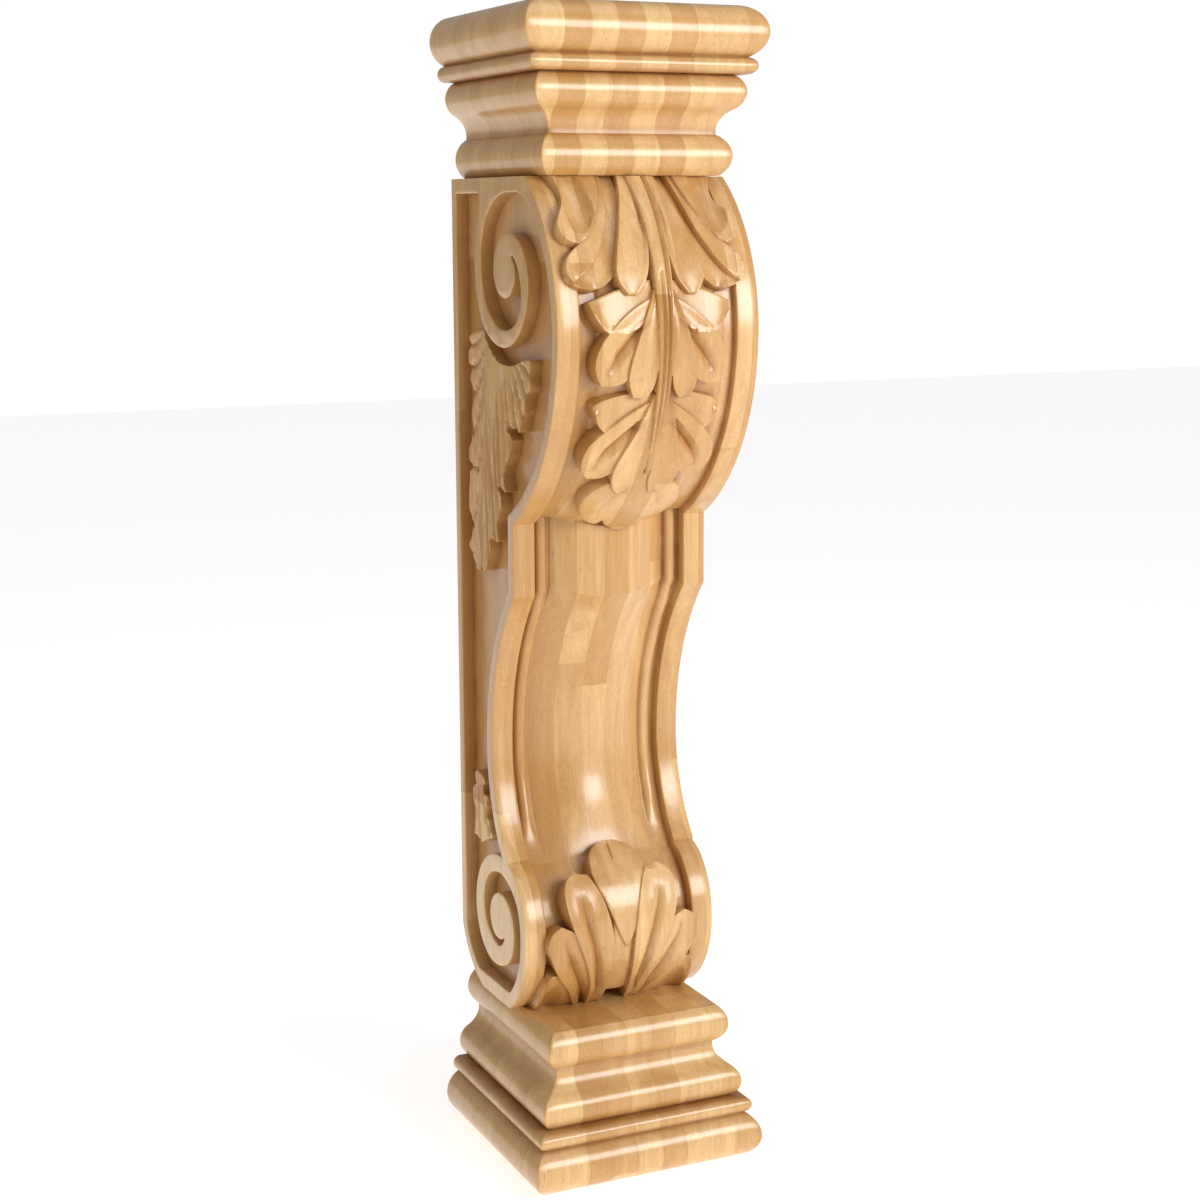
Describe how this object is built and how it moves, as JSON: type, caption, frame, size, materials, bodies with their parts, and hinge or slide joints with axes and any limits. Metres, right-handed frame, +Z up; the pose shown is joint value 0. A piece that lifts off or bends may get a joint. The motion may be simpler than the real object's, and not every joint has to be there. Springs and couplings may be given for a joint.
{
  "type": "carved corbel bracket",
  "caption": "Tall scrolled wooden corbel with moulded square blocks at top and foot, carved leaf front and sunk side panels.",
  "frame": {"origin": "centre of the underside of the whole bracket's box", "axes": "+Z up through the bracket, +Y towards the flat back, so the carved front faces -Y, +X across the width"},
  "size_m": [0.2, 0.2216, 0.9144],
  "materials": {
    "block_wood": "clear satin varnish over laminated light hardwood",
    "carved_wood": "clear satin varnish over laminated light hardwood, darker in the carved grooves"
  },
  "bodies": {
    "root": {"capital": "block_wood", "body": "carved_wood", "base": "block_wood"}
  },
  "joints": []
}
